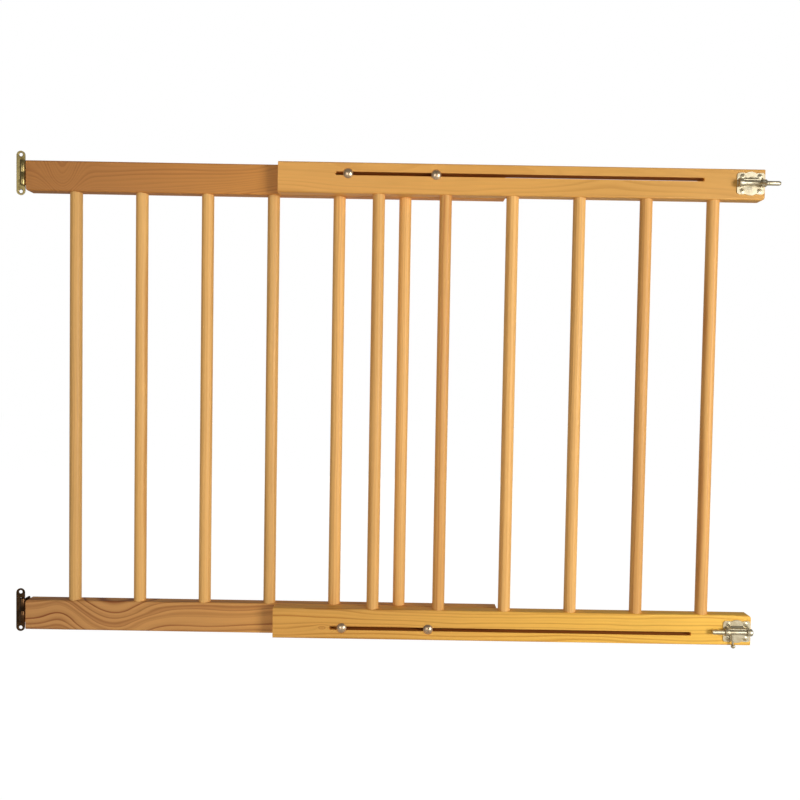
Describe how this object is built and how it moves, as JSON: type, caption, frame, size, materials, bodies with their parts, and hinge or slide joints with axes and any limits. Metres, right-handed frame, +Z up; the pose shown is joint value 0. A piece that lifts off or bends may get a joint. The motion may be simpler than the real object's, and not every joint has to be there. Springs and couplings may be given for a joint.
{
  "type": "extending wooden safety gate",
  "caption": "Wooden safety gate of two sliding dowel panels, clamped through slots in the rails, with hinges at one end and barrel bolts at the other.",
  "frame": {"origin": "midway between the two wall screw holes of the lower hinge, on the face of the wall", "axes": "+X along the gate from the hinges to the barrel bolts, +Y into the wall and away from the room, +Z up"},
  "size_m": [1.1183, 0.083, 0.7175],
  "materials": {
    "rear_rail_pine": "satin lacquer",
    "front_rail_pine": "satin lacquer",
    "dowel_pine": "satin lacquer",
    "polished_brass": "polished",
    "aged_brass": "aged",
    "nickel": "nickel plated",
    "zinc": "zinc plated"
  },
  "bodies": {
    "wall_leaves": {"upper_hinge_wall_leaf": "polished_brass", "upper_hinge_pin": "polished_brass", "lower_hinge_wall_leaf": "aged_brass", "lower_hinge_pin": "aged_brass"},
    "rear_panel": {"rear_top_rail": "rear_rail_pine", "rear_bottom_rail": "rear_rail_pine", "rear_dowel_1": "dowel_pine", "rear_dowel_2": "dowel_pine", "rear_dowel_3": "dowel_pine", "rear_dowel_4": "dowel_pine", "rear_dowel_5": "dowel_pine", "rear_dowel_6": "dowel_pine", "upper_hinge_gate_leaf": "polished_brass", "upper_hinge_screws": "polished_brass", "lower_hinge_gate_leaf": "aged_brass", "lower_hinge_screws": "aged_brass", "clamp_bolts": "nickel", "clamp_washers": "zinc"},
    "front_panel": {"front_top_rail": "front_rail_pine", "front_bottom_rail": "front_rail_pine", "front_dowel_1": "dowel_pine", "front_dowel_2": "dowel_pine", "front_dowel_3": "dowel_pine", "front_dowel_4": "dowel_pine", "front_dowel_5": "dowel_pine", "front_dowel_6": "dowel_pine", "upper_bolt_housing": "nickel", "upper_bolt_screws": "zinc", "lower_bolt_housing": "nickel", "lower_bolt_screws": "zinc"},
    "upper_bolt_rod": {"upper_bolt_rod": "nickel"},
    "upper_bolt_lever": {"upper_bolt_lever": "nickel"},
    "lower_bolt_rod": {"lower_bolt_rod": "nickel"},
    "lower_bolt_lever": {"lower_bolt_lever": "nickel"},
    "wing_nut_1": {"wing_nut_1": "zinc"},
    "wing_nut_2": {"wing_nut_2": "zinc"},
    "wing_nut_3": {"wing_nut_3": "zinc"},
    "wing_nut_4": {"wing_nut_4": "zinc"}
  },
  "joints": [
    {"name": "gate_swing", "type": "hinge", "parent": "wall_leaves", "child": "rear_panel", "pos_m": [0.0043, -0.004, 0], "axis": [0, 0, -1], "range_deg": [0, 110]},
    {"name": "panel_slide", "type": "slide", "parent": "rear_panel", "child": "front_panel", "axis": [1, 0, 0], "range_m": [-0.375, 0.013]},
    {"name": "upper_rod_slide", "type": "slide", "parent": "front_panel", "child": "upper_bolt_rod", "axis": [1, 0, 0], "range_m": [-0.0192, 0]},
    {"name": "upper_lever_turn", "type": "hinge", "parent": "upper_bolt_rod", "child": "upper_bolt_lever", "pos_m": [1.0706, -0.0295, 0.6497], "axis": [1, 0, 0], "range_deg": [-14, 76]},
    {"name": "lower_rod_slide", "type": "slide", "parent": "front_panel", "child": "lower_bolt_rod", "axis": [1, 0, 0], "range_m": [0, 0.0192]},
    {"name": "lower_lever_turn", "type": "hinge", "parent": "lower_bolt_rod", "child": "lower_bolt_lever", "pos_m": [1.0706, -0.0295, -0.0077], "axis": [1, 0, 0], "range_deg": [-90, 0]},
    {"name": "wing_nut_1_turn", "type": "hinge", "parent": "rear_panel", "child": "wing_nut_1", "pos_m": [0.6136, 0.018, 0.6546], "axis": [0, 1, 0], "continuous": true},
    {"name": "wing_nut_2_turn", "type": "hinge", "parent": "rear_panel", "child": "wing_nut_2", "pos_m": [0.4856, 0.018, 0.6546], "axis": [0, 1, 0], "continuous": true},
    {"name": "wing_nut_3_turn", "type": "hinge", "parent": "rear_panel", "child": "wing_nut_3", "pos_m": [0.6136, 0.018, -0.0126], "axis": [0, 1, 0], "continuous": true},
    {"name": "wing_nut_4_turn", "type": "hinge", "parent": "rear_panel", "child": "wing_nut_4", "pos_m": [0.4856, 0.018, -0.0126], "axis": [0, 1, 0], "continuous": true}
  ]
}
